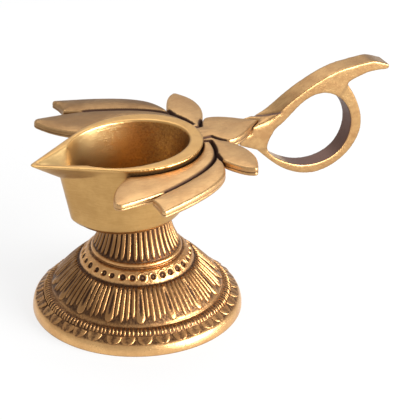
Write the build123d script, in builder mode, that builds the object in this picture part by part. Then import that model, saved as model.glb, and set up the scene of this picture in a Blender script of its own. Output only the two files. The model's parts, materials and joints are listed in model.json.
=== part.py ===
from build123d import *
import math
import os

# A brass oil lamp: an oval cup with a pouring spout stands on a hollow turned foot,
# ringed by seven flat petals, with a finger ring and thumb bar behind it.
# Origin: centre of the ring that the foot rests on. +X runs to the handle, the spout
# points to -X, +Z is up, and the XZ plane is the mirror plane. All sizes are in mm.

# ---- driving dimensions ----------------------------------------------------------

foot_radius = 36.0
foot_height = 36.5
cup_height = 25.7
rim_height = foot_height + cup_height

# clamp between the cup and the foot
stud_radius = 3.0
thread_pitch = 1.0
stud_depth_in_cup = 3.5
turning_clearance = 0.08
washer_clearance = 0.1
washer_radius = 6.0
washer_thickness = 1.2
nut_across_flats = 10.0
nut_thickness = 5.0
nut_corner_chamfer = 0.6
nut_travel = 6.0

# foot: the neck is sized round the washer, and the rings below it from the foot's edge
foot_wall = 2.6
rest_ring_width = 2.6
foot_web = 5.0
room_round_washer = 3.4
neck_waist_radius = washer_radius + room_round_washer + foot_wall
neck_top_radius = neck_waist_radius - 1.2
neck_bottom_radius = neck_waist_radius + 2.4
neck_bottom_height = 24.4
neck_waist_share = 0.48
neck_waist_height = neck_bottom_height + neck_waist_share * (foot_height - neck_bottom_height)
bead_radius = neck_bottom_radius + 1.3
bead_top_height = 23.7
dot_band_top_radius = bead_radius + 1.1
dot_band_top_height = 22.0
dome_top_radius = dot_band_top_radius + 3.4
dome_top_height = 17.9
base_band_radius = foot_radius - 0.8
base_band_height = 3.5
base_band_bulge = 0.15
ledge_radius = base_band_radius - 3.2
ledge_height = 5.5
milled_ring_radius = ledge_radius - 1.8
milled_ring_height = 7.4
milled_ring_bulge = 0.4
dome_bottom_radius = milled_ring_radius - 0.8
dome_bottom_height = 8.1
dome_bulge_share = 0.53
dome_bulge_radius = dome_top_radius + dome_bulge_share * (dome_bottom_radius - dome_top_radius)
dome_bulge_height = 13.2
groove_depth = 0.6
inner_shoulder = 1.0

# cup, outside
cup_floor = 5.2
bowl_base_centre = -3.6
bowl_base_reach = 19.4
bowl_base_half_width = 17.5
bowl_base_keel = -24.0
bowl_base_bevel = 1.8
bowl_mouth_centre = 1.0
bowl_mouth_rear_reach = 21.6
bowl_mouth_front_reach = 25.0
bowl_mouth_half_width = 19.6
bowl_mouth_keel = -31.0
bowl_keel_rounding = 5.0
lip_centre = 2.2
lip_rear_reach = 21.4
lip_front_reach = 26.5
lip_half_width = 20.5
spout_tip = -40.0
spout_rounding = 1.8
lip_depth = 6.5
lip_root_centre = 1.0
lip_root_rear_reach = 19.6
lip_root_front_reach = 22.5
lip_root_half_width = 18.7
spout_root = -29.0

# cup, inside
hollow_floor_centre = -3.0
hollow_floor_reach = 15.5
hollow_floor_half_width = 14.0
hollow_floor_rounding = 4.0
hollow_mouth_centre = -2.3
hollow_mouth_reach = 21.4
hollow_mouth_half_width = 16.3
channel_centre = 0.0
channel_rear_reach = 17.5
channel_front_reach = 22.0
channel_half_width = 15.4
channel_tip = -36.6
channel_rounding = 0.8
channel_depth = 8.7
channel_root_rear_reach = 14.5
channel_root_front_reach = 13.0
channel_root_half_width = 11.0
channel_root = -20.6

# petals
petal_drop = 1.7
petal_thickness = 3.4
inner_petal_rounding = 2.2
outer_petal_rounding = 1.0
rear_petal_rounding = 1.2
petal_top = rim_height - petal_drop

# handle
bar_width = 7.1
ring_width = 6.5


# ---- foot ------------------------------------------------------------------------

web_height = foot_height - foot_web
groove_floor = dome_top_radius - groove_depth
inner_shoulder_radius = bead_radius - groove_depth - foot_wall - inner_shoulder
with BuildPart() as foot:
    with BuildSketch(Plane.XZ):
        with BuildLine():
            Line((foot_radius - rest_ring_width, 0), (foot_radius, 0))
            ThreePointArc(
                (foot_radius, 0),
                (foot_radius - base_band_bulge, base_band_height / 2),
                (base_band_radius, base_band_height),
            )
            Line((base_band_radius, base_band_height), (ledge_radius, ledge_height))
            ThreePointArc(
                (ledge_radius, ledge_height),
                (
                    (ledge_radius + milled_ring_radius) / 2 + milled_ring_bulge,
                    (ledge_height + milled_ring_height) / 2 + milled_ring_bulge,
                ),
                (milled_ring_radius, milled_ring_height),
            )
            Polyline(
                (milled_ring_radius, milled_ring_height),
                (dome_bottom_radius - groove_depth, milled_ring_height),
                (dome_bottom_radius, dome_bottom_height),
            )
            ThreePointArc(
                (dome_bottom_radius, dome_bottom_height),
                (dome_bulge_radius, dome_bulge_height),
                (dome_top_radius, dome_top_height),
            )
            Polyline(
                (dome_top_radius, dome_top_height),
                (groove_floor, dome_top_height),
                (groove_floor, dome_top_height + groove_depth),
                (dot_band_top_radius, dot_band_top_height),
                (bead_radius - groove_depth, dot_band_top_height),
            )
            ThreePointArc(
                (bead_radius - groove_depth, dot_band_top_height),
                (bead_radius, (dot_band_top_height + bead_top_height) / 2),
                (bead_radius - groove_depth, bead_top_height),
            )
            Polyline(
                (bead_radius - groove_depth, bead_top_height),
                (neck_bottom_radius - groove_depth / 2, bead_top_height),
                (neck_bottom_radius, neck_bottom_height),
            )
            ThreePointArc(
                (neck_bottom_radius, neck_bottom_height),
                (neck_waist_radius, neck_waist_height),
                (neck_top_radius, foot_height),
            )
            Polyline(
                (neck_top_radius, foot_height),
                (stud_radius + turning_clearance, foot_height),
                (stud_radius + turning_clearance, web_height),
                (neck_waist_radius - foot_wall, web_height),
                (inner_shoulder_radius, bead_top_height - foot_wall),
                (dome_top_radius - foot_wall, dome_top_height - foot_wall),
            )
            ThreePointArc(
                (dome_top_radius - foot_wall, dome_top_height - foot_wall),
                (dome_bulge_radius - foot_wall, dome_bulge_height - foot_wall),
                (dome_bottom_radius - foot_wall, dome_bottom_height - foot_wall),
            )
            Polyline(
                (dome_bottom_radius - foot_wall, dome_bottom_height - foot_wall),
                (foot_radius - rest_ring_width, base_band_height - foot_wall),
                (foot_radius - rest_ring_width, 0),
            )
        make_face()
    revolve(axis=Axis.Z)


# ---- clamp: stud, washer and nut -------------------------------------------------

washer_base = web_height - washer_thickness
nut_base = washer_base - nut_thickness
stud_end = nut_base - nut_travel
stud_top = foot_height + stud_depth_in_cup

with BuildPart() as stud:
    with BuildSketch(Plane.XY.offset(stud_end)):
        Circle(stud_radius)
    extrude(amount=stud_top - stud_end)
    chamfer(stud.edges().group_by(Axis.Z)[0], thread_pitch / 2)

with BuildPart() as washer:
    with BuildSketch(Plane.XY.offset(washer_base)):
        Circle(washer_radius)
        Circle(stud_radius + washer_clearance, mode=Mode.SUBTRACT)
    extrude(amount=washer_thickness)

with BuildPart() as clamp_nut:
    with BuildSketch(Plane.XY.offset(nut_base)):
        RegularPolygon(nut_across_flats / 2, 6, major_radius=False)
        Circle(stud_radius + turning_clearance, mode=Mode.SUBTRACT)
    extrude(amount=nut_thickness)
    # the corners are turned off in a cone at both ends
    with BuildSketch(Plane.XZ):
        corner_radius = nut_across_flats / math.sqrt(3)
        with BuildLine():
            Polyline(
                (0, nut_base),
                (corner_radius - nut_corner_chamfer, nut_base),
                (corner_radius, nut_base + nut_corner_chamfer),
                (corner_radius, nut_base + nut_thickness - nut_corner_chamfer),
                (corner_radius - nut_corner_chamfer, nut_base + nut_thickness),
                (0, nut_base + nut_thickness),
                close=True,
            )
        make_face()
    revolve(axis=Axis.Z, mode=Mode.INTERSECT)


# ---- cup -------------------------------------------------------------------------


def drop_outline(centre, rear_reach, front_reach, half_width, tip):
    """Outline that is half an ellipse behind the centre, and in front of it runs
    along a longer ellipse and then straight, touching it, to a point at the tip."""
    turn = math.degrees(math.acos(-front_reach / (centre - tip)))
    EllipticalCenterArc((centre, 0), rear_reach, half_width, -90, arc_size=180)
    near = EllipticalCenterArc((centre, 0), front_reach, half_width, 90, arc_size=turn - 90)
    far = EllipticalCenterArc((centre, 0), front_reach, half_width, -turn, arc_size=turn - 90)
    Line(near @ 1, (tip, 0))
    Line((tip, 0), far @ 0)


# The cup before it is hollowed: a bucket with a bevelled lower edge, and a lip. The
# petals are cut back to it, so they close on its outside.
with BuildPart() as cup_outside:
    for inset in (bowl_base_bevel, 0):
        with BuildSketch(Plane.XY.offset(foot_height + bowl_base_bevel - inset)) as bowl_base:
            with BuildLine():
                drop_outline(
                    bowl_base_centre,
                    bowl_base_reach - inset,
                    bowl_base_reach - inset,
                    bowl_base_half_width - inset,
                    bowl_base_keel + inset,
                )
            make_face()
            fillet(bowl_base.vertices().sort_by(Axis.X)[0], bowl_keel_rounding)
    with BuildSketch(Plane.XY.offset(rim_height)) as bowl_mouth:
        with BuildLine():
            drop_outline(
                bowl_mouth_centre,
                bowl_mouth_rear_reach,
                bowl_mouth_front_reach,
                bowl_mouth_half_width,
                bowl_mouth_keel,
            )
        make_face()
        fillet(bowl_mouth.vertices().sort_by(Axis.X)[0], bowl_keel_rounding)
    loft(ruled=True)

    # lip that flares out and is drawn into the spout
    with BuildSketch(Plane.XY.offset(rim_height - lip_depth)) as lip_root:
        with BuildLine():
            drop_outline(
                lip_root_centre,
                lip_root_rear_reach,
                lip_root_front_reach,
                lip_root_half_width,
                spout_root,
            )
        make_face()
        fillet(lip_root.vertices().sort_by(Axis.X)[0], spout_rounding)
    with BuildSketch(Plane.XY.offset(rim_height)) as lip_top:
        with BuildLine():
            drop_outline(lip_centre, lip_rear_reach, lip_front_reach, lip_half_width, spout_tip)
        make_face()
        fillet(lip_top.vertices().sort_by(Axis.X)[0], spout_rounding)
    loft(ruled=True)

with BuildPart() as cup:
    add(cup_outside.part)

    # oil hollow
    with BuildPart(mode=Mode.PRIVATE) as hollow:
        with BuildSketch(Plane.XY.offset(foot_height + cup_floor)):
            with Locations((hollow_floor_centre, 0)):
                Ellipse(hollow_floor_reach, hollow_floor_half_width)
        with BuildSketch(Plane.XY.offset(rim_height)):
            with Locations((hollow_mouth_centre, 0)):
                Ellipse(hollow_mouth_reach, hollow_mouth_half_width)
        loft()
        fillet(hollow.edges().group_by(Axis.Z)[0], hollow_floor_rounding)
    add(hollow.part, mode=Mode.SUBTRACT)

    # channel that climbs from the hollow to the spout's tip
    with BuildSketch(Plane.XY.offset(rim_height - channel_depth)) as channel_floor:
        with BuildLine():
            drop_outline(
                channel_centre,
                channel_root_rear_reach,
                channel_root_front_reach,
                channel_root_half_width,
                channel_root,
            )
        make_face()
        fillet(channel_floor.vertices().sort_by(Axis.X)[0], channel_rounding)
    with BuildSketch(Plane.XY.offset(rim_height)) as channel_mouth:
        with BuildLine():
            drop_outline(
                channel_centre,
                channel_rear_reach,
                channel_front_reach,
                channel_half_width,
                channel_tip,
            )
        make_face()
        fillet(channel_mouth.vertices().sort_by(Axis.X)[0], channel_rounding)
    loft(ruled=True, mode=Mode.SUBTRACT)

    # blind hole for the stud
    with BuildSketch(Plane.XY.offset(foot_height)):
        Circle(stud_radius)
    extrude(amount=stud_depth_in_cup, mode=Mode.SUBTRACT)


# ---- petals ----------------------------------------------------------------------

# Each outline is drawn for the right-hand side, +Y, and mirrored for the left. It
# runs on into the pieces made before it, and is cut back to their faces. The petals
# are placed from the widest and the rearmost points of the cup's lip.
petal_plane = Plane.XY.offset(petal_top)
lip_side = lip_half_width
lip_rear = lip_centre + lip_rear_reach

with BuildPart() as petal_right_inner:
    with BuildSketch(petal_plane) as inner_outline:
        with BuildLine():
            outer_edge = Spline(
                (lip_rear + 1.2, 7.0),
                (18.2, lip_side + 0.9),
                (2.2, lip_side + 9.9),
                (-23.4, lip_side + 14.6),
                tangents=[(-0.1, 1), (-1, 0.1)],
            )
            tip_edge = Spline(outer_edge @ 1, (-19.3, lip_side + 4.9), (-9.5, lip_side - 3.5))
            Polyline(tip_edge @ 1, (10, 10), (18, 4), outer_edge @ 0)
        make_face()
        fillet(inner_outline.vertices().sort_by(Axis.X)[0], inner_petal_rounding)
    extrude(amount=-petal_thickness)
    add(cup_outside.part, mode=Mode.SUBTRACT)

with BuildPart() as petal_right_outer:
    with BuildSketch(petal_plane) as outer_outline:
        with BuildLine():
            outer_edge = Spline(
                (lip_rear - 1.2, lip_side - 4.0),
                (19.3, lip_side + 8.5),
                (5.4, lip_side + 18.7),
                (-11.5, lip_side + 24.9),
                tangents=[(-0.1, 1), (-1, 0.35)],
            )
            end_edge = Spline(
                outer_edge @ 1,
                (-10.4, lip_side + 19.0),
                (-10.6, lip_side + 15.1),
            )
            Polyline(
                end_edge @ 1,
                (-4.0, lip_side + 12.1),
                (6.0, lip_side + 4.5),
                (16.0, lip_side - 2.5),
                outer_edge @ 0,
            )
        make_face()
        fillet(outer_outline.vertices().sort_by(Axis.Y)[-1], outer_petal_rounding)
    extrude(amount=-petal_thickness)
    add(petal_right_inner.part, mode=Mode.SUBTRACT)
    add(cup_outside.part, mode=Mode.SUBTRACT)

with BuildPart() as petal_rear_centre:
    with BuildSketch(petal_plane):
        with BuildLine():
            side_edge = Spline(
                (lip_rear + 3.0, 4.2),
                (lip_rear + 7.7, 9.5),
                (lip_rear + 16.0, 5.6),
                (lip_rear + 23.2, 0),
                tangents=[(0.4, 1), (1, -0.7)],
            )
            Polyline(side_edge @ 0, (lip_rear - 2.6, 4.2), (lip_rear - 2.6, 0))
            mirror(about=Plane.XZ)
        make_face()
    extrude(amount=-petal_thickness)
    add(cup_outside.part, mode=Mode.SUBTRACT)

with BuildPart() as petal_rear_right:
    with BuildSketch(petal_plane) as rear_outline:
        with BuildLine():
            side_edge = Spline(
                (lip_rear + 2.8, 4.0),
                (lip_rear + 8.8, 14.4),
                (lip_rear + 9.6, lip_side + 4.0),
                (lip_rear + 6.4, lip_side + 11.2),
                tangents=[(0.6, 1), (-0.6, 1)],
            )
            inner_edge = Spline(
                side_edge @ 1,
                (lip_rear + 1.0, lip_side + 6.3),
                (lip_rear - 1.8, lip_side - 1.5),
                tangents=[(-1, -0.3), (-0.1, -1)],
            )
            Polyline(inner_edge @ 1, (lip_rear - 1.8, 4.0), side_edge @ 0)
        make_face()
        fillet(rear_outline.vertices().sort_by(Axis.Y)[-1], rear_petal_rounding)
    extrude(amount=-petal_thickness)
    add(petal_rear_centre.part, mode=Mode.SUBTRACT)
    add(petal_right_inner.part, mode=Mode.SUBTRACT)
    add(petal_right_outer.part, mode=Mode.SUBTRACT)
    add(cup_outside.part, mode=Mode.SUBTRACT)

with BuildPart() as petal_left_inner:
    mirror(petal_right_inner.part, about=Plane.XZ)

with BuildPart() as petal_left_outer:
    mirror(petal_right_outer.part, about=Plane.XZ)

with BuildPart() as petal_rear_left:
    mirror(petal_rear_right.part, about=Plane.XZ)


# ---- handle ----------------------------------------------------------------------

# Drawn in the mirror plane, from the rearmost point of the lip and the petals' tops.
handle_plane = Plane((lip_rear, 0, petal_top), x_dir=(1, 0, 0), z_dir=(0, -1, 0))


def finger_hole():
    """Egg-shaped hole that a finger goes through."""
    Spline(
        (25.1, -8.6), (27.0, -5.1), (31.6, -1.3), (38.8, 4.3), (45.4, 6.0), (52.8, 2.7),
        (57.6, -7.3), (53.0, -17.8), (41.7, -20.6), (30.8, -16.6),
        periodic=True,
    )


ring_front = (20.9, -10.2)
crotch = (56.0, 7.3)

with BuildPart() as thumb_bar:
    with BuildSketch(handle_plane):
        with BuildLine():
            top_edge = Spline(
                (14.4, -0.4), (25.4, 0.5), (33.0, 4.9), (44.4, 10.7), (53.4, 13.3),
                (62.4, 13.9), (71.2, 11.8),
                tangents=[(1, 0), (1, -0.5)],
            )
            tip_edge = ThreePointArc(top_edge @ 1, (72.3, 10.7), (71.3, 9.8))
            under_edge = Spline(
                tip_edge @ 1, (64.4, 10.1), (59.0, 8.9), crotch,
                tangents=[(-1, 0.05), (-1, -1.6)],
            )
            Polyline(crotch, (50.4, 0.5), (30.4, -10.2), ring_front, (14.4, -7.1), top_edge @ 0)
        make_face()
        with BuildLine():
            finger_hole()
        make_face(mode=Mode.SUBTRACT)
    extrude(amount=bar_width / 2, both=True)
    add(petal_rear_centre.part, mode=Mode.SUBTRACT)

with BuildPart() as finger_ring:
    with BuildSketch(handle_plane):
        with BuildLine():
            outer_loop = Spline(
                ring_front, (29.9, -18.8), (43.8, -24.1), (57.8, -17.9), (61.8, -8.3),
                (59.3, 1.3), crotch,
                tangents=[(1, -1), (-0.6, 1)],
            )
            Polyline(crotch, (46.4, 9.5), (28.4, -0.5), ring_front)
        make_face()
        with BuildLine():
            finger_hole()
        make_face(mode=Mode.SUBTRACT)
    extrude(amount=ring_width / 2, both=True)
    add(thumb_bar.part, mode=Mode.SUBTRACT)


# ---- export ----------------------------------------------------------------------

pieces = {
    "foot": foot,
    "cup": cup,
    "petal_left_inner": petal_left_inner,
    "petal_right_inner": petal_right_inner,
    "petal_left_outer": petal_left_outer,
    "petal_right_outer": petal_right_outer,
    "petal_rear_left": petal_rear_left,
    "petal_rear_right": petal_rear_right,
    "petal_rear_centre": petal_rear_centre,
    "thumb_bar": thumb_bar,
    "finger_ring": finger_ring,
    "stud": stud,
    "washer": washer,
    "clamp_nut": clamp_nut,
}
os.makedirs("parts", exist_ok=True)
for name, piece in pieces.items():
    piece.part.label = name
    export_step(piece.part, f"parts/{name}.step")
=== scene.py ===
import json
import math

import bmesh
import bpy
import numpy as np
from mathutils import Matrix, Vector
from mathutils.bvhtree import BVHTree


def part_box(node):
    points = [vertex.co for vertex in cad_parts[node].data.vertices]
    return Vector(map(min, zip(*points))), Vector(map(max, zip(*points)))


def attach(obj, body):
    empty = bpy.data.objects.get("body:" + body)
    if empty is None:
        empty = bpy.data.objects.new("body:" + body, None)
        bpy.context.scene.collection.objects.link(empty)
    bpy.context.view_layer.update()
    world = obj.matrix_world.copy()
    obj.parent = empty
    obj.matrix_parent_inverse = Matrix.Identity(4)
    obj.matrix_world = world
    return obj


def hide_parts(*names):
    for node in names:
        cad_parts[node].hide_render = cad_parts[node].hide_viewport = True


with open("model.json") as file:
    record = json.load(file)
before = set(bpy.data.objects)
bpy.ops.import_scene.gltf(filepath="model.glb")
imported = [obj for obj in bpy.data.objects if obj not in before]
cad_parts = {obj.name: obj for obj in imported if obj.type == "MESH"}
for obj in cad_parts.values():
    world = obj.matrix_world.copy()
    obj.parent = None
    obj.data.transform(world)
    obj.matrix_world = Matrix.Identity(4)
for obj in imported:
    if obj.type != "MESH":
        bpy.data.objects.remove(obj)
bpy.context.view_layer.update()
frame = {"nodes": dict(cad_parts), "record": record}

MM = 0.001
TURN = 2 * math.pi


# ---- mesh helpers ------------------------------------------------------------------


def link(name, mesh):
    piece = bpy.data.objects.new(name, mesh)
    bpy.context.scene.collection.objects.link(piece)
    return piece


def points_of(mesh):
    flat = np.empty(len(mesh.vertices) * 3)
    mesh.vertices.foreach_get("co", flat)
    return flat.reshape(-1, 3)


def set_points(mesh, points):
    mesh.vertices.foreach_set("co", points.ravel())
    mesh.update()


def normals_of(mesh):
    flat = np.empty(len(mesh.vertices) * 3)
    mesh.vertex_normals.foreach_get("vector", flat)
    return flat.reshape(-1, 3)


def edge_ends(mesh):
    pairs = np.empty(len(mesh.edges) * 2, dtype=np.int64)
    mesh.edges.foreach_get("vertices", pairs)
    return pairs.reshape(-1, 2)


def joined_count(first, second, size):
    """How many pairs each point is in."""
    return np.bincount(first, minlength=size) + np.bincount(second, minlength=size)


def joined_total(first, second, columns):
    """Sum, for each point, of the rows at the points that it is paired with."""
    size = len(columns)
    totals = [
        np.bincount(first, column[second], size) + np.bincount(second, column[first], size)
        for column in columns.T
    ]
    return np.array(totals).T


def neighbour_mean(mesh, values):
    """Mean of the values at the points joined to each point by an edge."""
    first, second = edge_ends(mesh).T
    size = len(values)
    count = np.maximum(joined_count(first, second, size), 1)
    total = joined_total(first, second, values.reshape(size, -1))
    return (total / count[:, None]).reshape(values.shape)


def relax(mesh, points, hold, rounds):
    """Smooths the points by as much as hold says at each of them, and leaves the rest."""
    pairs = edge_ends(mesh)
    pairs = pairs[(hold[pairs] > 0).any(axis=1)]
    used, local = np.unique(pairs, return_inverse=True)
    first, second = local.reshape(-1, 2).T
    count = joined_count(first, second, len(used))[:, None]
    part, share = points[used], 0.5 * hold[used][:, None]
    for _ in range(rounds):
        part += share * (joined_total(first, second, part) / count - part)
    points[used] = part


def paint(mesh, name, values):
    """Stores one number for each point, for the materials to read."""
    layer = mesh.attributes.get(name) or mesh.attributes.new(name, "FLOAT", "POINT")
    layer.data.foreach_set("value", np.clip(values, 0, 1).astype(np.float32))


def smoothstep(low, high, value):
    t = np.clip((value - low) / (high - low), 0, 1)
    return t * t * (3 - 2 * t)


def bell(value, width):
    """1 where the value is 0, falling off to nothing over about twice the width."""
    return np.exp(-((value / width) ** 2))


def smooth_faces(mesh):
    mesh.polygons.foreach_set("use_smooth", [True] * len(mesh.polygons))


def closed_mesh(name, verts, faces):
    """A new mesh of a closed shell, with its faces turned outwards."""
    mesh = bpy.data.meshes.new(name)
    mesh.from_pydata(verts, [], faces)
    shape = bmesh.new()
    shape.from_mesh(mesh)
    bmesh.ops.recalc_face_normals(shape, faces=shape.faces)
    shape.to_mesh(mesh)
    shape.free()
    smooth_faces(mesh)
    return mesh


def wall_faces(base, rows, around):
    """Faces between rows of points that each go once round the Z axis."""
    faces = []
    for row in range(rows - 1):
        low = base + row * around
        high = low + around
        for i in range(around):
            j = (i + 1) % around
            faces.append((low + i, low + j, high + j, high + i))
    return faces


def merged(*nodes):
    """One mesh of the nodes' shapes, with each one's loose triangles joined up."""
    mesh = bpy.data.meshes.new(nodes[0])
    shape = bmesh.new()
    for node in nodes:
        part = bmesh.new()
        part.from_mesh(frame["nodes"][node].data)
        bmesh.ops.remove_doubles(part, verts=part.verts, dist=1e-6)
        part.to_mesh(mesh)
        part.free()
        shape.from_mesh(mesh)
    shape.to_mesh(mesh)
    shape.free()
    mesh.materials.clear()
    return mesh


def plain_mesh(piece):
    """Swaps the piece's mesh for what its modifiers make of it, and drops them."""
    graph = bpy.context.evaluated_depsgraph_get()
    mesh = bpy.data.meshes.new_from_object(piece.evaluated_get(graph))
    piece.modifiers.clear()
    old = piece.data
    piece.data = mesh
    bpy.data.meshes.remove(old)
    return piece


def cast_copy(name, nodes, cell, passes):
    """The nodes' shape in one skin, with its edges softened as a sand casting's are."""
    piece = link(name, merged(*nodes))
    skin = piece.modifiers.new("skin", "REMESH")
    skin.mode = "VOXEL"
    skin.voxel_size = cell
    soften = piece.modifiers.new("soften", "SMOOTH")
    soften.factor = 0.5
    soften.iterations = passes
    plain_mesh(piece)
    smooth_faces(piece.data)
    return piece


def coat(piece, material):
    piece.data.materials.clear()
    piece.data.materials.append(material)


def show(piece, body, slot, material, *nodes):
    """Gives the piece its material and its body, and hides the CAD nodes that it stands for."""
    coat(piece, material)
    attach(piece, body)
    if nodes:
        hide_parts(*nodes)


# ---- materials ---------------------------------------------------------------------


class Shader:
    """Builds one node material, a line for each node."""

    def __init__(self, name):
        self.material = bpy.data.materials.new(name)
        self.material.use_nodes = True
        self.nodes = self.material.node_tree.nodes
        self.links = self.material.node_tree.links
        self.surface = self.nodes["Principled BSDF"]
        self.place = self.nodes.new("ShaderNodeTexCoord").outputs["Object"]

    def plug(self, socket, value):
        if isinstance(value, bpy.types.NodeSocket):
            self.links.new(value, socket)
        else:
            socket.default_value = value

    def sum(self, kind, *values, clamp=False):
        node = self.nodes.new("ShaderNodeMath")
        node.operation = kind
        node.use_clamp = clamp
        for socket, value in zip(node.inputs, values):
            self.plug(socket, value)
        return node.outputs[0]

    def stretch(self, scale):
        node = self.nodes.new("ShaderNodeMapping")
        self.links.new(self.place, node.inputs["Vector"])
        node.inputs["Scale"].default_value = scale
        return node.outputs[0]

    def reach_along(self, direction):
        """How far the point lies from the centre along a direction, in metres."""
        node = self.nodes.new("ShaderNodeVectorMath")
        node.operation = "DOT_PRODUCT"
        self.links.new(self.place, node.inputs[0])
        node.inputs[1].default_value = direction
        return node.outputs["Value"]

    def noise(self, scale, detail=4.0, rough=0.55, place=None):
        node = self.nodes.new("ShaderNodeTexNoise")
        self.links.new(place or self.place, node.inputs["Vector"])
        node.inputs["Scale"].default_value = scale
        node.inputs["Detail"].default_value = detail
        node.inputs["Roughness"].default_value = rough
        return node.outputs["Fac"]

    def painted(self, name):
        node = self.nodes.new("ShaderNodeAttribute")
        node.attribute_name = name
        return node.outputs["Fac"]

    def ramp(self, value, low, high, to_low=0.0, to_high=1.0):
        node = self.nodes.new("ShaderNodeMapRange")
        node.interpolation_type = "SMOOTHSTEP"
        for label, number in (
            ("From Min", low), ("From Max", high), ("To Min", to_low), ("To Max", to_high),
        ):
            node.inputs[label].default_value = number
        self.plug(node.inputs["Value"], value)
        return node.outputs[0]

    def blend(self, amount, first, second):
        node = self.nodes.new("ShaderNodeMix")
        node.data_type = "RGBA"
        self.plug(node.inputs[0], amount)
        for socket, value in ((node.inputs[6], first), (node.inputs[7], second)):
            self.plug(socket, value if isinstance(value, bpy.types.NodeSocket) else (*value, 1))
        return node.outputs[2]

    def bump(self, height, depth, under=None):
        node = self.nodes.new("ShaderNodeBump")
        node.inputs["Distance"].default_value = depth
        self.links.new(height, node.inputs["Height"])
        if under:
            self.links.new(under, node.inputs["Normal"])
        return node.outputs[0]


BURNISH_AND_HIGHLIGHT = (0.98, 0.70, 0.32)
FILM_AND_SHADE_DARKNESS = 0.42


def aged_brass(
    name, bright, deep, dirt_and_shade, roughness, mottle, grain, brushing=None, lit_side=None
):
    """Brass gone brown in its recesses, with painted shade and painted light laid on it. Bright
    and deep are the metal's two tones, the third colour is that of the brown recesses and of
    the painted shade, mottle how much of the deep tone shows, grain the depth of the cast
    surface, brushing the squeeze that draws its specks out into polishing marks, and the side
    direction points to where the key lamp stands: the brown layer is painted thin on that side,
    as painted light. It reads what is painted on the mesh: the recess brown with painted shade,
    and wear; the brown layer with painted shade, over it; and the burnish with painted
    highlights."""
    s = Shader(name)
    wear = s.painted("wear")
    clouds = s.noise(140, 5, 0.6)
    specks = s.noise(1400, 6, 0.7)
    fine = s.noise(4200, 3, 0.6)
    grit = s.noise(1, 3, 0.6, s.stretch(brushing)) if brushing else specks

    tone = s.sum("ADD", s.sum("MULTIPLY", clouds, 0.55), s.sum("MULTIPLY", grit, 0.45))
    metal = s.blend(s.sum("MULTIPLY", s.ramp(tone, 0.36, 0.66), mottle), bright, deep)
    # the brown film attribute also holds painted shade: on the far petals, on undersides, in the
    # cup's hollow and on the bar's top
    film_and_shade = s.sum("MULTIPLY", s.painted("film_and_shade"), s.ramp(clouds, 0.35, 0.62, 0.78, 1.0))
    # painted light: the brown film is painted thin on the side that faces the key lamp
    if lit_side:
        reach = s.sum("ADD", s.reach_along(lit_side), s.sum("MULTIPLY", clouds, 0.02))
        film_and_shade = s.sum("MULTIPLY", film_and_shade, s.ramp(reach, 0.0, 0.04, 1.0, 0.3))
    metal = s.blend(film_and_shade, metal, tuple(c * FILM_AND_SHADE_DARKNESS for c in deep))

    broken = s.sum("MULTIPLY", s.sum("SUBTRACT", specks, 0.5), 0.9)
    # the patina attribute holds real patina in seams and pits, and painted shade from occlusion,
    # the cup's hollow and rim and the handle's crease and finger hole
    stain_and_shade = s.ramp(s.sum("ADD", s.painted("patina_and_shade"), broken), 0.22, 0.78)
    stain_and_shade = s.sum("MULTIPLY", stain_and_shade, s.ramp(wear, 0.15, 0.8, 1.0, 0.25))
    colour = s.blend(stain_and_shade, metal, dirt_and_shade)
    rubbed = tuple(min(1.0, c * 1.12 + 0.02) for c in bright)
    colour = s.blend(s.ramp(wear, 0.25, 0.9, 0.0, 0.5), colour, rubbed)
    # the polish attribute holds real burnish on the foot's base band, a painted highlight in the
    # front of the cup's hollow, and the lighter floor of the spout's channel
    colour = s.blend(s.painted("polish_and_highlight"), colour, BURNISH_AND_HIGHLIGHT)
    s.plug(s.surface.inputs["Base Color"], colour)
    s.plug(s.surface.inputs["Metallic"], s.ramp(stain_and_shade, 0.0, 1.0, 1.0, 0.85))

    uneven = s.sum("MULTIPLY", s.sum("SUBTRACT", clouds, 0.5), 0.16)
    rough = s.sum("ADD", s.ramp(stain_and_shade, 0, 1, roughness, roughness + 0.22), uneven)
    rough = s.sum("SUBTRACT", rough, s.ramp(wear, 0.3, 1.0, 0.0, 0.1), clamp=True)
    s.plug(s.surface.inputs["Roughness"], rough)
    normal = s.bump(fine, grain * 0.35, s.bump(specks, grain))
    if brushing:
        normal = s.bump(grit, grain, normal)
    s.plug(s.surface.inputs["Normal"], normal)
    return s.material


def dull_steel(name):
    """Zinc-plated steel, with fine turning marks across its height."""
    s = Shader(name)
    clouds = s.noise(400, 5, 0.6)
    rings = s.noise(1, 3, 0.5, s.stretch((900, 900, 5200)))
    tone = s.blend(s.ramp(clouds, 0.3, 0.7), (0.47, 0.46, 0.44), (0.60, 0.60, 0.58))
    s.plug(s.surface.inputs["Base Color"], tone)
    s.surface.inputs["Metallic"].default_value = 1.0
    s.plug(s.surface.inputs["Roughness"], s.ramp(clouds, 0.3, 0.7, 0.34, 0.5))
    s.plug(s.surface.inputs["Normal"], s.bump(rings, 0.00004))
    return s.material


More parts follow.
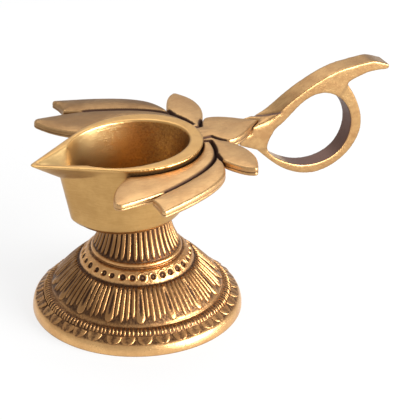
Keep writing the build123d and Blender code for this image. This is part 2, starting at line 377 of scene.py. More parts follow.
# The foot's brown film is painted thin on the side facing the key lamp, as painted light.
foot_brass = aged_brass(
    "engraved foot brass",
    bright=(0.78, 0.435, 0.180), deep=(0.56, 0.270, 0.100), dirt_and_shade=(0.060, 0.026, 0.013),
    roughness=0.29, mottle=0.9, grain=0.00008, lit_side=(0.66, -0.75, 0),
)
cup_brass = aged_brass(
    "cup brass",
    bright=(0.68, 0.405, 0.150), deep=(0.52, 0.285, 0.092), dirt_and_shade=(0.085, 0.036, 0.014),
    roughness=0.33, mottle=0.6, grain=0.00007, brushing=(300, 300, 2600),
)
petal_brass = aged_brass(
    "petal brass",
    bright=(0.66, 0.400, 0.175), deep=(0.50, 0.270, 0.112), dirt_and_shade=(0.075, 0.036, 0.024),
    roughness=0.36, mottle=0.7, grain=0.00007, brushing=(500, 1500, 1500),
)
handle_brass = aged_brass(
    "handle brass",
    bright=(0.64, 0.390, 0.165), deep=(0.44, 0.230, 0.095), dirt_and_shade=(0.170, 0.100, 0.080),
    roughness=0.30, mottle=0.8, grain=0.00007, brushing=(500, 2600, 500),
)
steel = dull_steel("dull zinc steel")


# ---- foot --------------------------------------------------------------------------

# Outside of the foot from the floor up, in mm: each run's end as (radius, height), the
# point that its arc passes through, how dark its ground is left, and the spacing of rows.
FOOT_START = (36.0, 0.0)
FOOT_RUNS = [
    ((35.2, 3.5), (35.85, 1.75), 0.0, 0.55),
    ((32.0, 5.5), None, 0.60, 0.40),
    ((30.2, 7.4), (31.5, 6.85), 0.65, 0.40),
    ((29.3, 7.4), None, 0.5, 0.40),
    ((29.5, 8.0), None, 0.4, 0.35),
    ((20.2, 17.9), (25.08, 13.2), 0.62, 0.45),
    ((19.6, 17.9), None, 0.75, 0.30),
    ((19.6, 18.5), None, 0.55, 0.30),
    ((16.8, 22.0), None, 0.12, 0.24),
    ((15.1, 22.0), None, 0.65, 0.40),
    ((15.1, 23.7), (15.7, 22.85), 0.0, 0.35),
    ((14.5, 23.7), None, 0.75, 0.40),
    ((14.45, 24.3), None, 0.65, 0.30),
    ((10.8, 36.5), (12.0, 30.2), 0.85, 0.60),
]
# The hollow of the foot from the neck's top down: each run's end, the point that its arc
# passes through, and how many rows it takes.
HOLLOW_START = (10.0, 36.5)
HOLLOW_RUNS = [
    ((3.08, 36.5), None, 1),
    ((3.08, 31.5), None, 1),
    ((9.4, 31.5), None, 1),
    ((9.4, 31.2), None, 1),
    ((11.5, 21.1), (10.2, 26.0), 6),
    ((17.6, 15.3), (14.7, 18.4), 6),
    ((26.8, 5.5), (22.5, 10.6), 10),
    ((30.0, 3.3), None, 1),
    ((33.0, 1.2), None, 1),
    ((33.4, 0.8), None, 1),
    ((33.4, 0.15), None, 1),
    ((33.6, 0.0), None, 1),
    ((35.6, 0.0), None, 1),
]
# How brown the outside is, as heights in mm and the film at each of them.
FILM_HEIGHTS = (3.4, 4.5, 8.0, 8.6, 17.8, 18.4, 23.8, 24.4)
FILM_LEVELS = (0, 0.65, 0.65, 1.0, 1.0, 0.1, 0.15, 1.0)
DOME_BOTTOM, DOME_TOP = 8.1, 17.9
BARS_END = 8.4
BASE_BAND_TOP = 3.5
DOT_BAND = (18.3, 20.2)
DOT_COUNT = 33
DOT_RADIUS = 1.2
DOT_DEPTH = 0.5
AROUND = 720
AROUND_INSIDE = 180


def arc_through(start, middle, end, count):
    """Points on the arc from start to end by way of middle, without the start."""
    ax, ay = start
    bx, by = middle
    cx, cy = end
    d = 2 * (ax * (by - cy) + bx * (cy - ay) + cx * (ay - by))
    a2, b2, c2 = ax * ax + ay * ay, bx * bx + by * by, cx * cx + cy * cy
    ox = (a2 * (by - cy) + b2 * (cy - ay) + c2 * (ay - by)) / d
    oy = (a2 * (cx - bx) + b2 * (ax - cx) + c2 * (bx - ax)) / d
    radius = math.hypot(ax - ox, ay - oy)
    first = math.atan2(ay - oy, ax - ox)
    last = math.atan2(cy - oy, cx - ox)
    mid = math.atan2(by - oy, bx - ox)
    span = (last - first + math.pi) % TURN - math.pi
    if ((mid - first + math.pi) % TURN - math.pi) * span < 0:
        span -= math.copysign(TURN, span)
    steps = [first + span * (i + 1) / count for i in range(count)]
    return [(ox + radius * math.cos(t), oy + radius * math.sin(t)) for t in steps]


def run_to(start, end, middle, count):
    """Points of one run of a profile without its start, on an arc if it has a middle."""
    if middle:
        return arc_through(start, middle, end, count)
    return [
        tuple(a + (b - a) * (i + 1) / count for a, b in zip(start, end))
        for i in range(count)
    ]


def foot_profile():
    """The foot's outside as (radius, height) rows from the floor up, a little worn, and
    how dark the ground is at each row."""
    rows, dark = [FOOT_START], [0.0]
    for end, middle, shade, spacing in FOOT_RUNS:
        count = max(2, round(math.dist(rows[-1], end) / spacing))
        rows += run_to(rows[-1], end, middle, count)
        dark += [shade] * count
    rows, dark = np.array(rows), np.array(dark)
    for _ in range(2):
        rows[1:-1] = rows[1:-1] * 0.5 + (rows[:-2] + rows[2:]) * 0.25
        dark[1:-1] = dark[1:-1] * 0.6 + (dark[:-2] + dark[2:]) * 0.2
    return rows, dark


def profile_normals(rows):
    along = np.gradient(rows, axis=0)
    along /= np.linalg.norm(along, axis=1)[:, None]
    return np.stack([along[:, 1], -along[:, 0]], axis=1)


profile, profile_dark = foot_profile()
profile_out = profile_normals(profile)


def on_profile(height):
    """Point and outward direction at a height on the foot's outside."""
    row = float(np.interp(height, profile[:, 1], np.arange(len(profile))))
    low = min(int(row), len(profile) - 2)
    part = row - low
    point = profile[low] * (1 - part) + profile[low + 1] * part
    out = profile_out[low] * (1 - part) + profile_out[low + 1] * part
    return point, out


def bridge(fine, coarse, flip):
    """Faces that join a ring of AROUND points to one of AROUND_INSIDE points."""
    ratio = AROUND // AROUND_INSIDE
    faces = []
    for i in range(AROUND_INSIDE):
        c0, c1 = coarse + i, coarse + (i + 1) % AROUND_INSIDE
        f = [fine + (i * ratio + k) % AROUND for k in range(ratio + 1)]
        fans = [
            (c0, f[0], f[1]), (c0, f[1], f[2]), (c0, f[2], c1),
            (c1, f[2], f[3]), (c1, f[3], f[4]),
        ]
        faces.extend(tuple(reversed(t)) if flip else t for t in fans)
    return faces


def make_foot():
    """The foot in one shell: outside with its punched dots, and the hollow inside."""
    rng = np.random.default_rng(7)
    angle = np.arange(AROUND) * TURN / AROUND
    sway = sum(
        a * np.sin(k * angle + p)
        for a, k, p in zip((0.05, 0.035, 0.03), (3, 7, 11), rng.uniform(0, TURN, 3))
    )
    heights = profile[:, 1][:, None]
    wobble = rng.normal(0, 1, (len(profile), AROUND))
    for _ in range(3):
        wobble = (wobble + np.roll(wobble, 1, 1) + np.roll(wobble, -1, 1)) / 3

    # below the engraved bars the dome is plain, from a line that wanders a little
    dark = np.repeat(profile_dark[:, None], AROUND, axis=1)
    on_dome = (heights > DOME_BOTTOM) & (heights < DOME_TOP)
    plain = smoothstep(BARS_END + 0.5 + sway * 8, BARS_END - 0.7 + sway * 8, heights)
    dark = np.where(on_dome, dark * (1 - plain) + 0.25 * plain, dark)

    # each punched dot is a pit with a raised rim and a stub in its middle
    step = TURN / DOT_COUNT
    nudge = rng.normal(0, 0.05, DOT_COUNT)
    which = np.round(angle / step).astype(int) % DOT_COUNT
    off_centre = (angle - (which + nudge[which]) * step + math.pi) % TURN - math.pi
    across = off_centre * DOT_BAND[0]
    up = np.hypot(profile[:, 0] - DOT_BAND[0], profile[:, 1] - DOT_BAND[1])
    size = rng.uniform(0.85, 1.1, DOT_COUNT)[which]
    reach = np.hypot(up[:, None], across[None, :]) / (DOT_RADIUS * size)
    pit = 1 - smoothstep(0.62, 1.0, reach)
    rim = bell(reach - 1.2, 0.2)
    lift = -DOT_DEPTH * pit + 0.16 * rim + 0.25 * bell(reach, 0.35)
    dark = np.maximum(dark, smoothstep(0.15, 0.7, pit) * (1 - 0.45 * bell(reach, 0.4)))
    dark = np.clip(dark - 0.5 * rim * (dark < 0.5), 0, 1)

    lift += wobble * 0.05 * (profile_dark[:, None] > 0.05)
    lift[:2] = 0
    lift[-2:] = 0
    radius = profile[:, 0][:, None] + profile_out[:, 0][:, None] * lift
    height = heights + profile_out[:, 1][:, None] * lift
    outside = np.stack([radius * np.cos(angle), radius * np.sin(angle), height], axis=2)

    hollow = [HOLLOW_START]
    for end, middle, count in HOLLOW_RUNS:
        hollow += run_to(hollow[-1], end, middle, count)
    turn = np.arange(AROUND_INSIDE) * TURN / AROUND_INSIDE
    inside = np.array([[(r * math.cos(t), r * math.sin(t), z) for t in turn] for r, z in hollow])

    verts = np.concatenate([outside.reshape(-1, 3), inside.reshape(-1, 3)]) * MM
    base = len(profile) * AROUND
    faces = wall_faces(0, len(profile), AROUND)
    faces += wall_faces(base, len(hollow), AROUND_INSIDE)
    faces += bridge(base - AROUND, base, False)
    faces += bridge(0, base + (len(hollow) - 1) * AROUND_INSIDE, True)
    mesh = closed_mesh("foot_casting", verts.tolist(), faces)

    film_and_shade = np.repeat(np.interp(profile[:, 1], FILM_HEIGHTS, FILM_LEVELS), AROUND)
    base_band = 1 - smoothstep(BASE_BAND_TOP - 0.3, BASE_BAND_TOP + 0.3, profile[:, 1])
    for label, on_outside, on_inside in (
        ("patina_and_shade", dark.ravel(), 0.3),
        ("wear", bell(reach - 1.2, 0.25).ravel() * 0.5, 0.0),
        ("film_and_shade", film_and_shade, 1.0),
        ("polish_and_highlight", np.repeat(0.2 * base_band, AROUND), 0.0),
    ):
        paint(mesh, label, np.append(on_outside, np.full(len(verts) - base, on_inside)))
    return link("foot_casting", mesh)


def ridge(name, heights, widths, rise, film_and_shade, dish=0.0, points=7, sink=0.35, slots=None):
    """A raised mark that lies up the foot's outside at angle 0, in mm. heights are where
    its sections are, widths their half widths, rise how far it stands up, film how brown
    it is and sink how deep its root goes. dish hollows all of it, and slots says how deep
    the cut along its middle is at each section, 0 to 1. points go across its face."""
    verts, faces, dark, bright = [], [], [], []
    dishes = [dish + 0.5 * cut for cut in slots] if slots else [dish] * len(heights)
    hollow_power, hollow_dark = (5, 2.4) if slots else (2, 1.6)
    for height, half, dish in zip(heights, widths, dishes):
        point, out = on_profile(height)
        for k in range(points):
            x = math.cos(math.pi * k / (points - 1))
            at_foot = abs(x) > 0.99
            hollow = (1 - x * x) ** hollow_power
            up = rise * min(1.0, half / (rise * 1.2)) * (1 - abs(x) ** 3) - dish * hollow
            if at_foot:
                up = -0.12
            r, z = point + out * up
            verts.append((r * MM, x * half * MM, z * MM))
            dark.append(0.9 if at_foot else 0.45 * abs(x) ** 4 + hollow_dark * dish * hollow)
            bright.append(0.4 * (1 - abs(x) ** 2) * (1 if dish < 0.05 else abs(x)))
        r, z = point - out * sink
        verts.append((r * MM, 0, z * MM))
        dark.append(1.0)
        bright.append(0.0)
    loop = points + 1
    last = (len(heights) - 1) * loop
    for start in range(0, last, loop):
        for k in range(loop):
            a, b = start + k, start + (k + 1) % loop
            faces.append((a, b, b + loop, a + loop))
    faces.append(tuple(reversed(range(loop))))
    faces.append(tuple(range(last, last + loop)))
    mesh = closed_mesh(name, verts, faces)
    paint(mesh, "patina_and_shade", np.array(dark))
    paint(mesh, "wear", np.array(bright))
    paint(mesh, "film_and_shade", np.full(len(verts), film_and_shade))
    return link(name, mesh)


def ring_of_marks():
    """Node tree that repeats one mark round the Z axis, each a little out of true."""
    tree = bpy.data.node_groups.new("ring of marks", "GeometryNodeTree")
    sockets = (
        ("Geometry", "NodeSocketGeometry"), ("Mark", "NodeSocketObject"),
        ("Count", "NodeSocketInt"), ("Start Angle", "NodeSocketFloat"),
        ("Angle Jitter", "NodeSocketFloat"), ("Size Jitter", "NodeSocketFloat"),
        ("Seed", "NodeSocketInt"), ("Material", "NodeSocketMaterial"),
    )
    for label, kind in sockets:
        tree.interface.new_socket(label, in_out="INPUT", socket_type=kind)
    tree.interface.new_socket("Geometry", in_out="OUTPUT", socket_type="NodeSocketGeometry")
    nodes, links = tree.nodes, tree.links
    inputs = nodes.new("NodeGroupInput").outputs
    mark = nodes.new("GeometryNodeObjectInfo")
    links.new(inputs["Mark"], mark.inputs["Object"])
    line = nodes.new("GeometryNodeMeshLine")
    line.inputs["Offset"].default_value = (0, 0, 0)
    links.new(inputs["Count"], line.inputs["Count"])
    index = nodes.new("GeometryNodeInputIndex")

    def math_node(kind, a, b):
        node = nodes.new("ShaderNodeMath")
        node.operation = kind
        for socket, value in zip(node.inputs, (a, b)):
            if isinstance(value, bpy.types.NodeSocket):
                links.new(value, socket)
            else:
                socket.default_value = value
        return node.outputs[0]

    def random_float(low, high, extra):
        node = nodes.new("FunctionNodeRandomValue")
        node.data_type = "FLOAT"
        links.new(low, node.inputs[2])
        links.new(high, node.inputs[3])
        links.new(math_node("ADD", inputs["Seed"], extra), node.inputs["Seed"])
        return node.outputs[1]

    step = math_node("DIVIDE", TURN, inputs["Count"])
    angle = math_node("ADD", math_node("MULTIPLY", index.outputs[0], step), inputs["Start Angle"])
    less = math_node("MULTIPLY", inputs["Angle Jitter"], -1.0)
    angle = math_node("ADD", angle, random_float(less, inputs["Angle Jitter"], 0))
    turn = nodes.new("ShaderNodeCombineXYZ")
    links.new(angle, turn.inputs["Z"])
    smaller = math_node("SUBTRACT", 1.0, inputs["Size Jitter"])
    larger = math_node("ADD", 1.0, inputs["Size Jitter"])
    size = nodes.new("ShaderNodeCombineXYZ")
    links.new(random_float(smaller, larger, 1), size.inputs["X"])
    links.new(random_float(smaller, larger, 1), size.inputs["Y"])
    links.new(random_float(smaller, larger, 2), size.inputs["Z"])
    spread = nodes.new("GeometryNodeInstanceOnPoints")
    links.new(line.outputs["Mesh"], spread.inputs["Points"])
    links.new(mark.outputs["Geometry"], spread.inputs["Instance"])
    links.new(turn.outputs[0], spread.inputs["Rotation"])
    links.new(size.outputs[0], spread.inputs["Scale"])
    join = nodes.new("GeometryNodeJoinGeometry")
    links.new(inputs["Geometry"], join.inputs[0])
    links.new(spread.outputs[0], join.inputs[0])
    real = nodes.new("GeometryNodeRealizeInstances")
    links.new(join.outputs[0], real.inputs[0])
    finish = nodes.new("GeometryNodeSetMaterial")
    links.new(real.outputs[0], finish.inputs["Geometry"])
    links.new(inputs["Material"], finish.inputs["Material"])
    links.new(finish.outputs[0], nodes.new("NodeGroupOutput").inputs[0])
    return tree


marks_tree = ring_of_marks()
marks_sockets = {
    item.name: item.identifier
    for item in marks_tree.interface.items_tree
    if item.in_out == "INPUT"
}


def engrave(name, rings):
    """Rings of marks made into one piece. Each ring is the mark, how many there are, the
    first one's angle, and how far the marks' angles and sizes stray."""
    piece = link(name, bpy.data.meshes.new(name))
    for seed, (mark, count, start, turn_jitter, size_jitter) in enumerate(rings):
        ring = piece.modifiers.new(mark.name, "NODES")
        ring.node_group = marks_tree
        values = {
            "Mark": mark, "Count": count, "Start Angle": start, "Angle Jitter": turn_jitter,
            "Size Jitter": size_jitter, "Seed": seed * 10 + len(name), "Material": foot_brass,
        }
        for label, value in values.items():
            ring[marks_sockets[label]] = value
    plain_mesh(piece)
    for mark in {ring[0] for ring in rings}:
        bpy.data.objects.remove(mark)
    smooth_faces(piece.data)
    show(piece, "foot_body", "engraved_brass", foot_brass)


def spaced(low, high, count):
    return [low + (high - low) * i / (count - 1) for i in range(count)]


def rounded_ends(count, start, end, tip=0.25):
    """Half widths from start to end along a mark, drawn in at both of its ends."""
    out = []
    for i in range(count):
        t = i / (count - 1)
        draw_in = min(1.0, (min(t, 1 - t) * (count - 1) / 1.6)) ** 0.5 if 0 < t < 1 else tip
        out.append((start + (end - start) * t) * max(tip, draw_in))
    return out


def tongue_width(t):
    """Half width of a tongue from its round foot, t = 0, to its narrow top, t = 1."""
    if t < 0.2:
        return 1.6 * math.sqrt(max(0.04, 1 - ((0.2 - t) / 0.2) ** 2))
    return 1.6 - 0.75 * (t - 0.2) / 0.8


def tongue_slot(t):
    return math.sin(math.pi * (t - 0.18) / 0.76) ** 0.6 if 0.18 < t < 0.94 else 0.0


def scallop_width(t):
    return 2.6 * math.sqrt(max(0.03, 1 - (1 - t) ** 2.6))


def dome_bar(name, foot, widest, narrowest):
    heights = spaced(foot, 17.85, 12)
    return ridge(name, heights, rounded_ends(12, widest, narrowest), 0.42, 1.0)


NECK_RIBS = 40
TONGUES = 16
TICKS = 144
SCALLOPS = 36

show(make_foot(), "foot_body", "engraved_brass", foot_brass, "foot")

neck_rib = ridge(
    "neck rib", spaced(24.3, 36.3, 14), rounded_ends(14, 0.80, 0.60, 0.6), 0.5, 1.0,
)
engrave("foot_neck_ribs", [(neck_rib, NECK_RIBS, 0, 0.012, 0.004)])

along_tongue = spaced(0, 1, 16)
tongue = ridge(
    "dome tongue", spaced(8.35, 17.6, 16), [tongue_width(t) for t in along_tongue], 0.5, 0.85,
    points=11, slots=[tongue_slot(t) for t in along_tongue],
)
bar_long = dome_bar("long bar", 8.6, 0.80, 0.62)
bar_middle = dome_bar("middle bar", 9.2, 0.78, 0.62)
bar_short = dome_bar("short bar", 10.0, 0.70, 0.60)
# between two tongues, as shares of the way from one to the next
bar_places = ((bar_short, 0.235), (bar_long, 0.41), (bar_middle, 0.585), (bar_short, 0.765))
dome_rings = [
    (mark, TONGUES, TURN / TONGUES * place, 0.006, 0.003)
    for mark, place in ((tongue, 0), *bar_places)
]
engrave("foot_dome_engraving", dome_rings)

tick = ridge(
    "milled tick", spaced(5.5, 7.42, 6), rounded_ends(6, 0.42, 0.40, 0.5), 0.28, 0.5,
    points=5, sink=0.25,
)
engrave("foot_milled_ring", [(tick, TICKS, 0, 0.007, 0.004)])

scallop = ridge(
    "ledge scallop", spaced(3.7, 5.45, 10), [scallop_width(t) for t in spaced(0.02, 1, 10)],
    0.6, 0.4, dish=0.38, points=13,
)
engrave("foot_scallops", [(scallop, SCALLOPS, 0, 0.022, 0.006)])


# ---- cup, petals and handle --------------------------------------------------------

UPPER = [n for n in frame["record"]["behaviour"]["bodies"]["cup_body"] if n != "stud"]
HANDLE = ["thumb_bar", "finger_ring"]
CELL = 0.32 * MM
CUP_CELL = 0.34 * MM

PETAL_ROUNDING = 0.7 * MM
PETAL_SEAM_DROP = 1.1 * MM
SCORED_LINE_BELOW_TOP = 1.7 * MM
SCORED_LINE_WIDTH = 0.42 * MM
SCORED_LINE_DEPTH = 0.30 * MM
PETAL_THINNING = 0.6 * MM
# How brown each petal's top is. The petals on the right are painted browner than those on the
# left: painted shade.
PETAL_FILM_AND_SHADE = {
    "petal_right_outer": 0.95,
    "petal_right_inner": 0.80,
    "petal_rear_right": 0.25,
    "petal_rear_centre": 0.30,
    "petal_rear_left": 0.25,
    "petal_left_inner": 0.0,
    "petal_left_outer": 0.0,
}
# Where along X, in mm, a long petal starts to thin out and where it is thinnest.
THINNING = {"inner": (-6, -22), "outer": (-2, -14)}

# The crease across the foot of the bar, and the middle of the finger hole as (x, z).
CREASE_START = np.array((46.6, 3.2, 60.2)) * MM
CREASE_END = np.array((53.4, -3.9, 62.9)) * MM
FINGER_HOLE = (66.0 * MM, 52.5 * MM)

# Feelers go out from each point, to find how closely other surfaces shut it in, which is painted
# on as shade.
FEELERS = 14
FEEL = 6.0 * MM


def tree_of(*meshes):
    verts, faces, start = [], [], 0
    for mesh in meshes:
        verts += [v.co.copy() for v in mesh.vertices]
        faces += [[start + i for i in p.vertices] for p in mesh.polygons]
        start += len(mesh.vertices)
    return BVHTree.FromPolygons(verts, faces)


cad_meshes = {node: merged(node) for node in UPPER}


def top_outline(mesh, top):
    """Edges of the flat top face, as pairs of XY points."""
    shape = bmesh.new()
    shape.from_mesh(mesh)
    edges = []
    for edge in shape.edges:
        if len(edge.link_faces) == 2 and all(abs(v.co.z - top) < 1e-5 for v in edge.verts):
            flat = [abs(f.normal.z) > 0.9 for f in edge.link_faces]
            if flat[0] != flat[1]:
                edges.append([[v.co.x, v.co.y] for v in edge.verts])
    shape.free()
    return np.array(edges)


def outline_distance(points, edges):
    """Distance in plan from each point to the outline, and the place on it that is nearest."""
    best = np.full(len(points), 1e9)
    place = np.zeros((len(points), 2))
    for a, b in edges:
        along = b - a
        t = np.clip(((points - a) @ along) / max(along @ along, 1e-18), 0, 1)
        spot = a + t[:, None] * along
        gap = np.linalg.norm(points - spot, axis=1)
        nearer = gap < best
        best[nearer] = gap[nearer]
        place[nearer] = spot[nearer]
    return best, place


def touching_neighbours(mesh, node, points, gap, place):
    """How nearly each point of a petal's edge meets the piece beside it, 0 to 1."""
    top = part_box(node)[1][2]
    others = tree_of(*(m for n, m in cad_meshes.items() if n != node and n not in HANDLE))
    touching = np.zeros(len(points))
    upper = points[:, 2] > top - 2.0 * MM
    for i in np.nonzero(upper & (gap < 2.5 * MM))[0]:
        near = others.find_nearest(Vector((*place[i], top - 0.3 * MM)), 0.5 * MM)
        if near[0] is not None:
            touching[i] = 1 - smoothstep(0.05 * MM, 0.4 * MM, near[3])
    for _ in range(4):
        touching = touching * 0.4 + neighbour_mean(mesh, touching) * 0.6
    return touching


def make_petal(node):
    """One petal, and where it is dark: rounded over on its free sides, where a line is
    scored, and sunk along its seams."""
    piece = cast_copy(node + "_casting", [node], CELL, 6)
    mesh = piece.data
    points, normals = points_of(mesh), normals_of(mesh)
    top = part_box(node)[1][2]
    gap, place = outline_distance(points[:, :2], top_outline(cad_meshes[node], top))
    touching = touching_neighbours(mesh, node, points, gap, place)
    kind = node.split("_")[-1]
    long_petal = kind in THINNING

    share = smoothstep(top - 2.6 * MM, top - 0.6 * MM, points[:, 2])
    inside = np.clip(PETAL_ROUNDING - gap, 0, PETAL_ROUNDING)
    free_drop = PETAL_ROUNDING - np.sqrt(PETAL_ROUNDING ** 2 - inside ** 2)
    seam_drop = PETAL_SEAM_DROP * (1 - smoothstep(0.1 * MM, 0.9 * MM, gap))
    crown = (0.50 if long_petal else 0.35) * MM * np.clip(1 - gap / (5.0 * MM), 0, 1) ** 2
    drop = crown + free_drop * (1 - touching) + seam_drop * touching
    steep = 1 - smoothstep(0.35, 0.75, np.abs(normals[:, 2]))
    line = bell(top - SCORED_LINE_BELOW_TOP - points[:, 2], SCORED_LINE_WIDTH)
    line *= steep * (1 - touching)
    points[:, 2] -= drop * share
    points -= normals * (line * SCORED_LINE_DEPTH)[:, None]
    if long_petal:
        start, end = THINNING[kind]
        thin = smoothstep(start * MM, end * MM, points[:, 0])
        below = 1 - smoothstep(top - 3.4 * MM, top - 1.2 * MM, points[:, 2])
        points[:, 2] += PETAL_THINNING * thin * below
    set_points(mesh, points)

    deep = touching * (1 - smoothstep(0.45 * MM, 1.45 * MM, gap)) * share
    # painted shade: faces that look down are given a heavy brown film
    under = smoothstep(-0.2, -0.8, normals[:, 2])
    paint(mesh, "film_and_shade", np.maximum(PETAL_FILM_AND_SHADE[node], 0.95 * under))
    return piece, np.maximum(deep, line)


def soften_channel(piece):
    """Rounds over the edge where the spout's channel runs into the bowl."""
    mesh = piece.data
    points = points_of(mesh)
    x, y, z = points.T / MM
    inward = (normals_of(mesh)[:, :2] * points[:, :2]).sum(axis=1) < 0
    hold = smoothstep(-35, -29, x) * (1 - smoothstep(-12, -4, x)) * smoothstep(42, 47, z)
    hold *= 1 - smoothstep(61.0, 61.7, z)
    relax(mesh, points, hold * inward, 380)
    set_points(mesh, points)


def cup_stain_shade_and_highlight(piece):
    """Where the cup is dark: beside the petals, painted shade along the far side of the rim's
    outer top edge, and painted shade in the hollow, rising to its rear and its bottom. Its
    outer wall has a thin brown layer; the front of the hollow, on its far wall, has a painted
    highlight, and the up-facing floor of the spout's channel is painted lighter."""
    mesh = piece.data
    points, normals = points_of(mesh), normals_of(mesh)
    x, y, z = points.T / MM
    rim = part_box("cup")[1][2]
    outward = normals[:, 0] * (points[:, 0] - 2 * MM) + normals[:, 1] * points[:, 1] > 0

    petals = tree_of(*(m for n, m in cad_meshes.items() if n.startswith("petal")))
    near = np.array([petals.find_nearest(p, 2.0 * MM)[3] or 1.0 for p in points.tolist()])
    beside = (1 - smoothstep(0.5 * MM, 1.5 * MM, near)) * (points[:, 2] < rim - 0.7 * MM)
    gap, _ = outline_distance(points[:, :2], top_outline(cad_meshes["cup"], rim))
    rim_edge = bell(gap, 0.45 * MM) * smoothstep(rim - 0.9 * MM, rim - 0.4 * MM, points[:, 2])
    # painted shade: a dark line on the far side of the rim's outer top edge
    far_edge_shade = rim_edge * outward * smoothstep(4, 9, y) * smoothstep(-19, -14, x)

    over_hollow = ((x + 2.3) / 21.4) ** 2 + (y / 16.3) ** 2 < 1.0
    within = ~outward | (normals[:, 2] > 0.4)
    inside = over_hollow * within * (z > 41.0) * (z < rim / MM - 0.8)
    # painted shade in the hollow, rising to its rear and its bottom
    depth = smoothstep(-10, 15, x + 0.2 * y) * 0.66 + 0.10 * smoothstep(52, 43, z)
    # painted highlight on the front of the hollow's far wall
    front = over_hollow * within * (1 - smoothstep(-6, 10, x)) * smoothstep(-6, 8, y)
    # the up-facing floor of the spout's channel is painted lighter
    channel = within * (1 - smoothstep(-24, -16, x)) * smoothstep(0.2, 0.6, normals[:, 2])
    channel = channel * (z < 62.0)
    polish_and_highlight = np.maximum(0.85 * front * smoothstep(46, 58, z), 0.45 * channel)
    wall_film = 0.30 * outward * (1 - smoothstep(61.0, 61.8, z))
    paint(mesh, "polish_and_highlight", polish_and_highlight)
    paint(mesh, "film_and_shade", np.maximum(wall_film, inside * depth))
    return np.maximum(np.maximum(beside * 0.5, far_edge_shade * 0.9), inside * depth * 0.6)


def finish_handle(piece):
    """Folds a crease across the foot of the bar, rounds the stub below it, and says where
    the handle is dark: painted shade in the crease and on the low rear of the inside of the
    finger hole. It gives the handle a light brown layer, browner on the bar's up-facing top
    as painted shade."""
    mesh = piece.data
    points = points_of(mesh)
    x, y, z = points.T / MM
    stub = (1 - smoothstep(50, 54, x)) * (1 - smoothstep(0, 3, y)) * smoothstep(55, 58, z)
    relax(mesh, points, stub, 60)
    set_points(mesh, points)
    normals = normals_of(mesh)

    along = CREASE_END - CREASE_START
    part = np.clip((points - CREASE_START) @ along / (along @ along), 0, 1)[:, None]
    gap = np.linalg.norm(points - CREASE_START - part * along, axis=1)
    # painted shade along the crease, which is also pressed in as a shallow groove
    crease = bell(gap, 0.7 * MM)
    points -= normals * (crease * 0.35 * MM)[:, None]
    set_points(mesh, points)

    to_x, to_z = FINGER_HOLE[0] - points[:, 0], FINGER_HOLE[1] - points[:, 2]
    reach = np.maximum(np.hypot(to_x, to_z), 1e-9)
    facing = smoothstep(0.45, 0.8, (to_x * normals[:, 0] + to_z * normals[:, 2]) / reach)
    rear_low = smoothstep(-0.35, 0.35, (to_z - to_x) / reach)
    # painted shade on the low rear of the inside of the finger hole
    hole = facing * smoothstep(22 * MM, 19 * MM, reach) * rear_low
    # painted shade: the bar's up-facing top is given more brown film
    top = smoothstep(0.3, 0.7, normals[:, 2]) * smoothstep(52 * MM, 55 * MM, points[:, 0])
    paint(mesh, "film_and_shade", 0.25 + 0.15 * top)
    return np.maximum(hole * 0.95, crease * 0.75)


castings = {}
seams_and_shade = {}
for node in UPPER:
    if node.startswith("petal"):
        castings[node], seams_and_shade[node] = make_petal(node)
castings["cup"] = cast_copy("cup_casting", ["cup"], CUP_CELL, 8)
soften_channel(castings["cup"])
seams_and_shade["cup"] = cup_stain_shade_and_highlight(castings["cup"])
castings["handle"] = cast_copy("handle_casting", HANDLE, CELL, 12)
seams_and_shade["handle"] = finish_handle(castings["handle"])

everything = tree_of(*(p.data for p in castings.values()), merged("foot"))


def feeler_directions():
    """Directions spread evenly over the space above a surface, with Z away from it."""
    golden = math.pi * (3 - math.sqrt(5))
    out = []
    for i in range(FEELERS):
        up = math.sqrt(1 - (i + 0.5) / FEELERS * 0.92)
        flat = math.sqrt(1 - up * up)
        out.append((flat * math.cos(golden * i), flat * math.sin(golden * i), up))
    return out


def occlusion_shade(mesh):
    """How closely each point is shut in by the surfaces round it, 0 to 1."""
    points, normals = points_of(mesh), normals_of(mesh)
    side = np.cross(normals, np.where(np.abs(normals[:, 2:]) < 0.9, (0, 0, 1), (1, 0, 0)))
    side /= np.linalg.norm(side, axis=1)[:, None]
    other = np.cross(normals, side)
    total = np.zeros(len(points))
    starts = points + normals * 0.12 * MM
    for a, b, c in feeler_directions():
        rays = side * a + other * b + normals * c
        for i, (start, ray) in enumerate(zip(starts.tolist(), rays.tolist())):
            hit = everything.ray_cast(start, ray, FEEL)
            if hit[3] is not None:
                total[i] += 1 - hit[3] / FEEL
    return total / FEELERS


finishes = {
    "cup": ("cup_brass", cup_brass),
    "petal": ("petal_brass", petal_brass),
    "handle": ("handle_brass", handle_brass),
}
for node, piece in castings.items():
    mesh = piece.data
    # painted shade: points shut in by the surfaces round them are painted dark, as occlusion
    # shade that also stands for patina in the hollows
    closed = occlusion_shade(mesh)
    for _ in range(2):
        closed = closed * 0.5 + neighbour_mean(mesh, closed) * 0.5
    points = points_of(mesh)
    bend = ((points - neighbour_mean(mesh, points)) * normals_of(mesh)).sum(axis=1) / CELL
    for _ in range(2):
        bend = bend * 0.5 + neighbour_mean(mesh, bend) * 0.5
    paint(mesh, "patina_and_shade", np.maximum(seams_and_shade[node], smoothstep(0.25, 0.75, closed) * 0.9))
    paint(mesh, "wear", smoothstep(0.03, 0.14, bend) * (1 - 0.8 * seams_and_shade[node]))
    slot, material = finishes[node.split("_")[0]]
    show(piece, "cup_body", slot, material, *(HANDLE if node == "handle" else [node]))


# ---- clamp -------------------------------------------------------------------------

STUD_RADIUS = 3.0
THREAD_PITCH = 1.0
THREAD_DEPTH = 0.55
STUD_AROUND = 40
ROWS_PER_TURN = 8


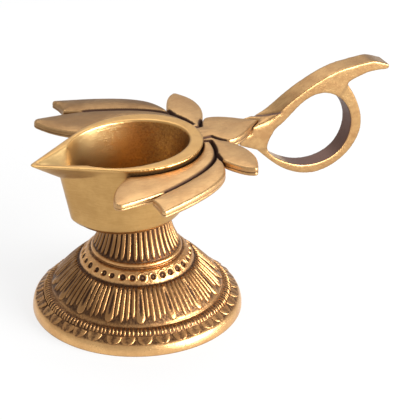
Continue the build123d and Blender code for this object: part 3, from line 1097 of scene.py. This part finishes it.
def make_stud():
    """The stud with its thread: one helical groove wound from end to end."""
    low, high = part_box("stud")
    bottom, top = low[2] / MM, high[2] / MM
    rows = int((top - bottom) / THREAD_PITCH * ROWS_PER_TURN)
    verts = []
    for row in range(rows + 1):
        z = bottom + (top - bottom) * row / rows
        taper = 0.86 + 0.14 * min(1.0, (z - bottom) / 0.6)
        for i in range(STUD_AROUND):
            t = (z / THREAD_PITCH - i / STUD_AROUND) % 1.0
            crest = min(1.0, (1 - abs(2 * t - 1)) * 1.25)
            r = (STUD_RADIUS - THREAD_DEPTH + THREAD_DEPTH * crest) * taper * MM
            angle = TURN * i / STUD_AROUND
            verts.append((r * math.cos(angle), r * math.sin(angle), z * MM))
    faces = wall_faces(0, rows + 1, STUD_AROUND)
    faces.append(tuple(reversed(range(STUD_AROUND))))
    faces.append(tuple(range(rows * STUD_AROUND, (rows + 1) * STUD_AROUND)))
    return link("stud_thread", closed_mesh("stud_thread", verts, faces))


show(make_stud(), "cup_body", "fastener_steel", steel, "stud")
for node in ("washer", "clamp_nut"):
    coat(frame["nodes"][node], steel)


# ---- studio ------------------------------------------------------------------------


FLOOR_HALF = 4.0
PAPER = 0.86
PAPER_GLOW = 0.72
ROOM_LEVEL = 0.62
CAMERA_PLACE = (-0.33088, -0.71720, 0.46849)
CAMERA_TARGET = (0.02246, -0.01124, 0.03622)
CAMERA_LENS = 227.4


def seen_by(nodes, links, first, second):
    """1 for two kinds of ray, which see plain white, and 0 for the rest."""
    ray = nodes.new("ShaderNodeLightPath")
    either = nodes.new("ShaderNodeMath")
    either.operation = "MAXIMUM"
    links.new(ray.outputs[first], either.inputs[0])
    links.new(ray.outputs[second], either.inputs[1])
    return either.outputs[0]


def make_floor():
    """White paper under the lamp, which glows for the camera but keeps its shadows."""
    mesh = bpy.data.meshes.new("floor")
    corners = [(-1, -1), (1, -1), (1, 1), (-1, 1)]
    mesh.from_pydata(
        [(x * FLOOR_HALF, y * FLOOR_HALF, 0) for x, y in corners], [], [(0, 1, 2, 3)],
    )
    floor = link("floor", mesh)
    paper = bpy.data.materials.new("white paper")
    paper.use_nodes = True
    nodes, links = paper.node_tree.nodes, paper.node_tree.links
    surface = nodes["Principled BSDF"]
    surface.inputs["Base Color"].default_value = (PAPER, PAPER, PAPER, 1)
    surface.inputs["Roughness"].default_value = 0.9
    glow = nodes.new("ShaderNodeEmission")
    glow.inputs["Color"].default_value = (1, 1, 1, 1)
    glow.inputs["Strength"].default_value = 1.0
    lighten = nodes.new("ShaderNodeMath")
    lighten.operation = "MULTIPLY"
    lighten.inputs[1].default_value = PAPER_GLOW
    links.new(seen_by(nodes, links, "Is Camera Ray", "Is Glossy Ray"), lighten.inputs[0])
    mix = nodes.new("ShaderNodeMixShader")
    links.new(lighten.outputs[0], mix.inputs[0])
    links.new(surface.outputs[0], mix.inputs[1])
    links.new(glow.outputs[0], mix.inputs[2])
    links.new(mix.outputs[0], nodes["Material Output"].inputs["Surface"])
    mesh.materials.append(paper)


def make_world():
    """White to the camera, and a soft even light of ROOM_LEVEL on the lamp."""
    world = bpy.data.worlds.new("studio")
    bpy.context.scene.world = world
    world.use_nodes = True
    nodes, links = world.node_tree.nodes, world.node_tree.links
    background = nodes["Background"]
    background.inputs["Color"].default_value = (1, 1, 1, 1)
    level = nodes.new("ShaderNodeMapRange")
    level.inputs["To Min"].default_value = ROOM_LEVEL
    level.inputs["To Max"].default_value = 1.0
    seen = seen_by(nodes, links, "Is Camera Ray", "Is Transmission Ray")
    links.new(seen, level.inputs["Value"])
    links.new(level.outputs[0], background.inputs["Strength"])


def place_facing(piece, place, target):
    """Puts a lamp or the camera in its place, turned towards a target."""
    bpy.context.scene.collection.objects.link(piece)
    piece.location = place
    piece.rotation_mode = "QUATERNION"
    piece.rotation_quaternion = (Vector(target) - Vector(place)).to_track_quat("-Z", "Y")


def lamp(name, place, target, size, power):
    light = bpy.data.lights.new(name, "AREA")
    light.size = size
    light.energy = power
    place_facing(bpy.data.objects.new(name, light), place, target)


def make_camera():
    data = bpy.data.cameras.new("camera")
    data.sensor_width = 36.0
    data.lens = CAMERA_LENS
    data.clip_start, data.clip_end = 0.01, 20
    camera = bpy.data.objects.new("camera", data)
    place_facing(camera, CAMERA_PLACE, CAMERA_TARGET)
    bpy.context.scene.camera = camera


make_floor()
make_world()
make_camera()
lamp("key", (0.42, -0.56, 0.22), (0, 0, 0.05), 0.50, 11.0)
lamp("back", (0.15, 0.32, 0.60), (0.02, 0, 0.05), 0.50, 1.3)
bpy.context.scene.view_settings.view_transform = "Standard"
